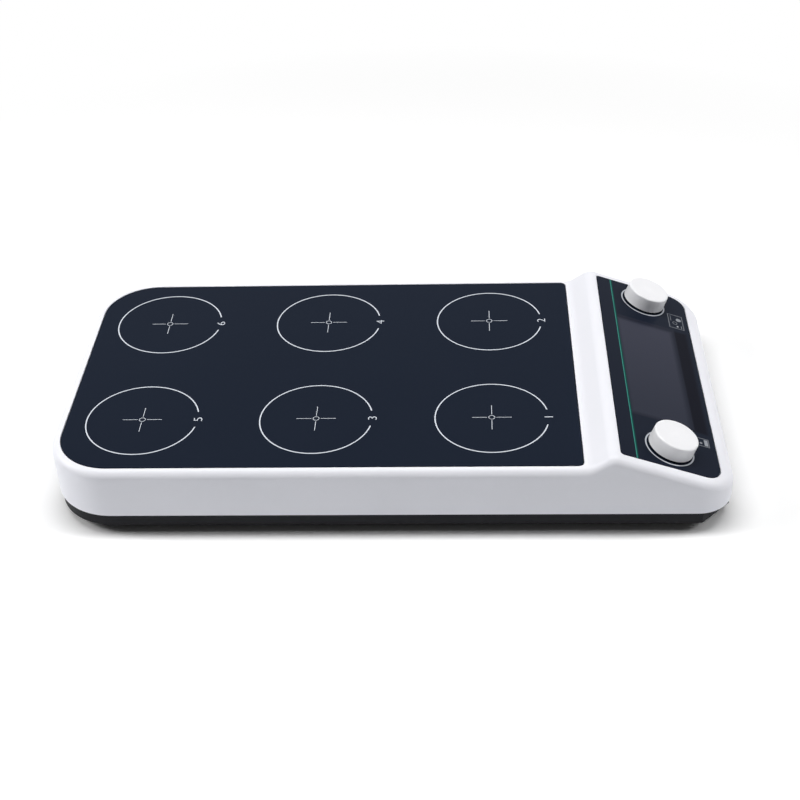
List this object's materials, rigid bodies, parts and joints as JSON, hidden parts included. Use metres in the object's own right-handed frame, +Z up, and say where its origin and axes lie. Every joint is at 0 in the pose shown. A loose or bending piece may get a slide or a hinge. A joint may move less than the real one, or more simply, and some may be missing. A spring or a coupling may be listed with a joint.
{
  "type": "multi-position magnetic stirrer",
  "caption": "Flat bench stirrer with numbered stirring places on a dark plate, a raised sloping console, push-and-turn knobs, a wide display and magnet drives inside.",
  "frame": {"origin": "on the bench surface under the middle of the casing", "axes": "+X along the casing towards the console, +Y across it, +Z up"},
  "size_m": [0.3592, 0.1844, 0.0503],
  "materials": {
    "white_plastic": "satin moulded white",
    "black_plastic": "fine-textured black",
    "dark_plate": "satin blue-black with pale printed rings",
    "dark_film": "glossy blue-black overlay with a smoked display window",
    "rubber": "matt black",
    "steel": "bright zinc-plated",
    "nickel": "nickel-plated",
    "copper": "enamelled copper wire",
    "circuit_board": "green solder mask",
    "grey_plastic": "grey moulded",
    "liquid_crystal": "dark display glass"
  },
  "bodies": {
    "base": {"upper_casing": "white_plastic", "lcd_light_box": "white_plastic", "base_tray": "black_plastic", "power_inlet": "black_plastic", "power_switch_housing": "black_plastic", "stirring_plate": "dark_plate", "console_panel": "dark_film", "foot_1": "rubber", "foot_2": "rubber", "foot_3": "rubber", "foot_4": "rubber", "base_screw_1": "steel", "base_screw_2": "steel", "base_screw_3": "steel", "base_screw_4": "steel", "base_screw_5": "steel", "base_screw_6": "steel", "control_screw_1": "steel", "control_screw_2": "steel", "control_screw_3": "steel", "control_screw_4": "steel", "bearing_1": "steel", "bearing_2": "steel", "bearing_3": "steel", "bearing_4": "steel", "bearing_5": "steel", "bearing_6": "steel", "stator_1": "copper", "stator_2": "copper", "stator_3": "copper", "stator_4": "copper", "stator_5": "copper", "stator_6": "copper", "drive_board": "circuit_board", "control_board": "circuit_board", "timer_encoder_body": "grey_plastic", "speed_encoder_body": "grey_plastic", "ribbon_cable": "grey_plastic", "lcd_panel": "liquid_crystal"},
    "timer_button": {"timer_push_slider": "black_plastic"},
    "timer_dial": {"timer_encoder_shaft": "steel", "timer_knob": "white_plastic"},
    "speed_button": {"speed_push_slider": "black_plastic"},
    "speed_dial": {"speed_encoder_shaft": "steel", "speed_knob": "white_plastic"},
    "drive_1": {"rotor_1": "grey_plastic", "bar_magnet_1": "nickel"},
    "drive_2": {"rotor_2": "grey_plastic", "bar_magnet_2": "nickel"},
    "drive_3": {"rotor_3": "grey_plastic", "bar_magnet_3": "nickel"},
    "drive_4": {"rotor_4": "grey_plastic", "bar_magnet_4": "nickel"},
    "drive_5": {"rotor_5": "grey_plastic", "bar_magnet_5": "nickel"},
    "drive_6": {"rotor_6": "grey_plastic", "bar_magnet_6": "nickel"},
    "power_rocker": {"power_rocker": "black_plastic"}
  },
  "joints": [
    {"name": "timer_knob_push", "type": "slide", "parent": "base", "child": "timer_button", "axis": [-0.3322, 0, -0.9432], "range_m": [0, 0.0008], "stiffness_N_per_m": 2000, "springref_m": -0.001},
    {"name": "timer_knob_turn", "type": "hinge", "parent": "timer_button", "child": "timer_dial", "pos_m": [0.14487, -0.07, 0.03758], "axis": [0.3322, 0, 0.9432], "continuous": true},
    {"name": "speed_knob_push", "type": "slide", "parent": "base", "child": "speed_button", "axis": [-0.3322, 0, -0.9432], "range_m": [0, 0.0008], "stiffness_N_per_m": 2000, "springref_m": -0.001},
    {"name": "speed_knob_turn", "type": "hinge", "parent": "speed_button", "child": "speed_dial", "pos_m": [0.14487, 0.07, 0.03758], "axis": [0.3322, 0, 0.9432], "continuous": true},
    {"name": "rotor_1_spin", "type": "hinge", "parent": "base", "child": "drive_1", "pos_m": [0.054, -0.0466, 0.0223], "axis": [0, 0, 1], "continuous": true},
    {"name": "rotor_2_spin", "type": "hinge", "parent": "base", "child": "drive_2", "pos_m": [0.054, 0.0466, 0.0223], "axis": [0, 0, 1], "continuous": true},
    {"name": "rotor_3_spin", "type": "hinge", "parent": "base", "child": "drive_3", "pos_m": [-0.0392, -0.0466, 0.0223], "axis": [0, 0, 1], "continuous": true},
    {"name": "rotor_4_spin", "type": "hinge", "parent": "base", "child": "drive_4", "pos_m": [-0.0392, 0.0466, 0.0223], "axis": [0, 0, 1], "continuous": true},
    {"name": "rotor_5_spin", "type": "hinge", "parent": "base", "child": "drive_5", "pos_m": [-0.1324, -0.0466, 0.0223], "axis": [0, 0, 1], "continuous": true},
    {"name": "rotor_6_spin", "type": "hinge", "parent": "base", "child": "drive_6", "pos_m": [-0.1324, 0.0466, 0.0223], "axis": [0, 0, 1], "continuous": true},
    {"name": "power_rocker_tilt", "type": "hinge", "parent": "base", "child": "power_rocker", "pos_m": [-0.1753, -0.03, 0.02245], "axis": [0, 0, -1], "range_deg": [0, 14]}
  ]
}
